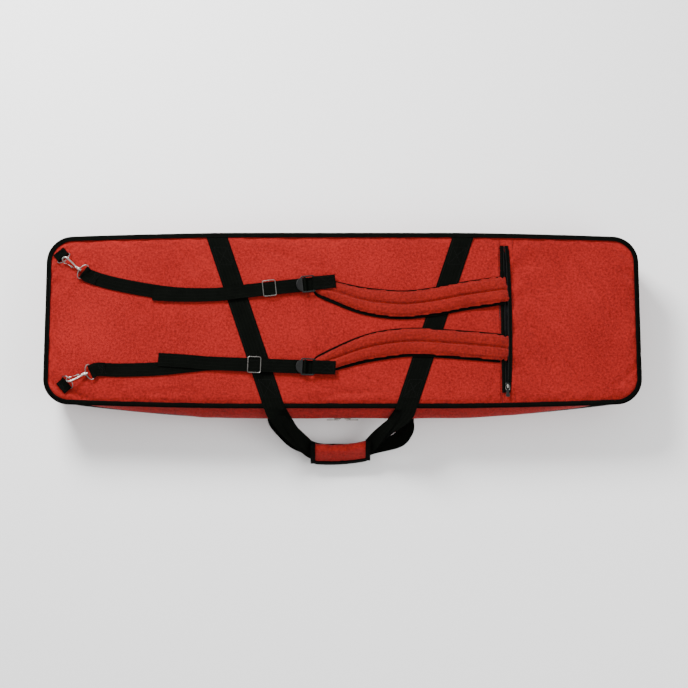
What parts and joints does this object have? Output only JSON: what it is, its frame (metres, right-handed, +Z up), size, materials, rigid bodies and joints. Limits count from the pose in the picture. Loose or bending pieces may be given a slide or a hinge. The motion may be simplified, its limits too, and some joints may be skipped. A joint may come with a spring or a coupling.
{
  "type": "padded equipment bag",
  "caption": "Long padded soft case for snow gear, with a zip round three sides, carrying handles, and two clip-on shoulder straps that stow in an end pocket.",
  "frame": {"origin": "centre of the bag's footprint on the plane it lies on, front face down", "axes": "+X along the bag to the end with the strap pocket, -Y to the carrying handles, +Z up to the back panel with the shoulder straps"},
  "size_m": [1.4, 0.5452, 0.1511],
  "materials": {
    "red_fabric": "matt woven nylon",
    "black_webbing": "woven webbing and tape",
    "foam": "closed-cell foam padding",
    "lining": "smooth lining",
    "nickel_steel": "bright nickel plate",
    "black_plastic": "satin moulded"
  },
  "bodies": {
    "front_shell": {"front_panel": "red_fabric", "front_foam": "foam", "front_lining": "lining", "front_wall": "red_fabric", "front_binding": "black_webbing", "front_zip_tape": "black_webbing", "front_zip_coil": "black_plastic", "front_carry_web_left": "black_webbing", "front_carry_web_right": "black_webbing", "hinge_tape": "black_webbing"},
    "back_shell": {"back_panel": "red_fabric", "pocket_panel": "red_fabric", "back_foam": "foam", "back_lining": "lining", "back_wall": "red_fabric", "back_binding": "black_webbing", "back_zip_tape": "black_webbing", "back_zip_coil": "black_plastic", "pocket_zip_tape_left": "black_webbing", "pocket_zip_tape_right": "black_webbing", "back_carry_web_left": "black_webbing", "back_carry_web_right": "black_webbing", "corner_tab_upper": "black_webbing", "corner_tab_lower": "black_webbing", "strap_anchor_upper": "black_webbing", "strap_anchor_lower": "black_webbing"},
    "back_handle": {"back_handle_web": "black_webbing", "handle_grip": "red_fabric"},
    "front_handle": {"front_handle_web": "black_webbing"},
    "left_slider": {"zip_left_slider": "nickel_steel"},
    "left_pull": {"zip_left_pull": "nickel_steel"},
    "right_slider": {"zip_right_slider": "nickel_steel"},
    "right_pull": {"zip_right_pull": "nickel_steel"},
    "pocket_slider_body": {"pocket_slider": "nickel_steel"},
    "pocket_pull_body": {"pocket_pull": "nickel_steel"},
    "pad_upper": {"shoulder_pad_upper": "red_fabric", "pad_tab_upper": "black_webbing"},
    "buckle_upper": {"ladder_lock_upper": "black_plastic", "strap_tail_upper": "black_webbing"},
    "run_upper": {"swivel_eye_upper": "nickel_steel", "strap_web_upper": "black_webbing"},
    "hook_upper": {"snap_hook_upper": "nickel_steel"},
    "gate_upper": {"hook_gate_upper": "nickel_steel"},
    "glide_upper": {"strap_slider_upper": "nickel_steel"},
    "ring_upper": {"d_ring_upper": "nickel_steel"},
    "pad_lower": {"shoulder_pad_lower": "red_fabric", "pad_tab_lower": "black_webbing"},
    "buckle_lower": {"ladder_lock_lower": "black_plastic", "strap_tail_lower": "black_webbing"},
    "run_lower": {"swivel_eye_lower": "nickel_steel", "strap_web_lower": "black_webbing"},
    "hook_lower": {"snap_hook_lower": "nickel_steel"},
    "gate_lower": {"hook_gate_lower": "nickel_steel"},
    "glide_lower": {"strap_slider_lower": "nickel_steel"},
    "ring_lower": {"d_ring_lower": "nickel_steel"}
  },
  "joints": [
    {"name": "lid_hinge", "type": "hinge", "parent": "front_shell", "child": "back_shell", "pos_m": [0, 0.2145, 0.065], "axis": [-1, 0, 0], "range_deg": [0, 115]},
    {"name": "back_handle_lift", "type": "hinge", "parent": "back_shell", "child": "back_handle", "pos_m": [0, -0.2125, 0.131], "axis": [-1, 0, 0], "range_deg": [0, 60]},
    {"name": "front_handle_lift", "type": "hinge", "parent": "front_shell", "child": "front_handle", "pos_m": [0, -0.2125, 0.0014], "axis": [-1, 0, 0], "range_deg": [0, 60]},
    {"name": "left_zip_slide", "type": "slide", "parent": "front_shell", "child": "left_slider", "axis": [-1, 0, 0], "range_m": [0, 0.225]},
    {"name": "left_pull_flip", "type": "hinge", "parent": "left_slider", "child": "left_pull", "pos_m": [-0.012, -0.22935, 0.065], "axis": [0, 0, 1], "range_deg": [0, 120]},
    {"name": "right_zip_slide", "type": "slide", "parent": "front_shell", "child": "right_slider", "axis": [1, 0, 0], "range_m": [0, 0.225]},
    {"name": "right_pull_flip", "type": "hinge", "parent": "right_slider", "child": "right_pull", "pos_m": [0.012, -0.22935, 0.065], "axis": [0, 0, -1], "range_deg": [0, 120]},
    {"name": "pocket_zip_slide", "type": "slide", "parent": "back_shell", "child": "pocket_slider_body", "axis": [0, 1, 0], "range_m": [0, 0.04]},
    {"name": "pocket_pull_flip", "type": "hinge", "parent": "pocket_slider_body", "child": "pocket_pull_body", "pos_m": [0.3852, -0.158, 0.13495], "axis": [-1, 0, 0], "range_deg": [0, 100]},
    {"name": "pad_lift_upper", "type": "hinge", "parent": "back_shell", "child": "pad_upper", "pos_m": [0.3865, 0.071, 0.1328], "axis": [-0.1091, 0.994, 0], "range_deg": [0, 14]},
    {"name": "buckle_turn_upper", "type": "hinge", "parent": "pad_upper", "child": "buckle_upper", "pos_m": [-0.06713, 0.08499, 0.1414], "axis": [0.1091, -0.994, 0], "range_deg": [0, 24.77]},
    {"name": "strap_swing_upper", "type": "hinge", "parent": "back_shell", "child": "run_upper", "pos_m": [-0.652, 0.1395, 0.14348], "axis": [0.1091, -0.994, 0], "range_deg": [0, 10.77]},
    {"name": "hook_swivel_upper", "type": "hinge", "parent": "run_upper", "child": "hook_upper", "pos_m": [-0.652, 0.1395, 0.14348], "axis": [0.8345, -0.5419, -0.0996], "range_deg": [-10, 20]},
    {"name": "gate_press_upper", "type": "hinge", "parent": "hook_upper", "child": "gate_upper", "pos_m": [-0.63303, 0.1228, 0.13728], "axis": [0.3261, 0.6314, -0.7036], "range_deg": [0, 12]},
    {"name": "glide_slide_upper", "type": "slide", "parent": "run_upper", "child": "glide_upper", "axis": [0.994, 0.1091, 0], "range_m": [-0.02, 0.02]},
    {"name": "ring_tilt_upper", "type": "hinge", "parent": "back_shell", "child": "ring_upper", "pos_m": [-0.66042, 0.14954, 0.1343], "axis": [-0.766, -0.6428, 0], "range_deg": [0, 7.2]},
    {"name": "pad_lift_lower", "type": "hinge", "parent": "back_shell", "child": "pad_lower", "pos_m": [0.3865, -0.068, 0.1328], "axis": [0.0402, 0.9992, 0], "range_deg": [0, 14]},
    {"name": "buckle_turn_lower", "type": "hinge", "parent": "pad_lower", "child": "buckle_lower", "pos_m": [-0.06702, -0.11424, 0.1414], "axis": [-0.0402, -0.9992, 0], "range_deg": [0, 24.99]},
    {"name": "strap_swing_lower", "type": "hinge", "parent": "back_shell", "child": "run_lower", "pos_m": [-0.634, -0.143, 0.14348], "axis": [-0.0402, -0.9992, 0], "range_deg": [0, 10.99]},
    {"name": "hook_swivel_lower", "type": "hinge", "parent": "run_lower", "child": "hook_lower", "pos_m": [-0.634, -0.143, 0.14348], "axis": [0.9289, 0.3566, -0.0996], "range_deg": [-20, 8]},
    {"name": "gate_press_lower", "type": "hinge", "parent": "hook_lower", "child": "gate_lower", "pos_m": [-0.61197, -0.13061, 0.13728], "axis": [-0.1877, 0.6854, 0.7036], "range_deg": [0, 12]},
    {"name": "glide_slide_lower", "type": "slide", "parent": "run_lower", "child": "glide_lower", "axis": [0.9992, -0.0402, 0], "range_m": [-0.02, 0.02]},
    {"name": "ring_tilt_lower", "type": "hinge", "parent": "back_shell", "child": "ring_lower", "pos_m": [-0.64389, -0.1516, 0.1343], "axis": [0.6561, -0.7547, 0], "range_deg": [0, 7.2]}
  ],
  "couplings": [
    {"joint": "front_handle_lift", "follows": "back_handle_lift", "ratio": 1},
    {"joint": "buckle_turn_upper", "follows": "pad_lift_upper", "ratio": 1.748},
    {"joint": "strap_swing_upper", "follows": "pad_lift_upper", "ratio": 0.748},
    {"joint": "ring_tilt_upper", "follows": "pad_lift_upper", "ratio": 0.5},
    {"joint": "buckle_turn_lower", "follows": "pad_lift_lower", "ratio": 1.7638},
    {"joint": "strap_swing_lower", "follows": "pad_lift_lower", "ratio": 0.7638},
    {"joint": "ring_tilt_lower", "follows": "pad_lift_lower", "ratio": 0.5}
  ]
}
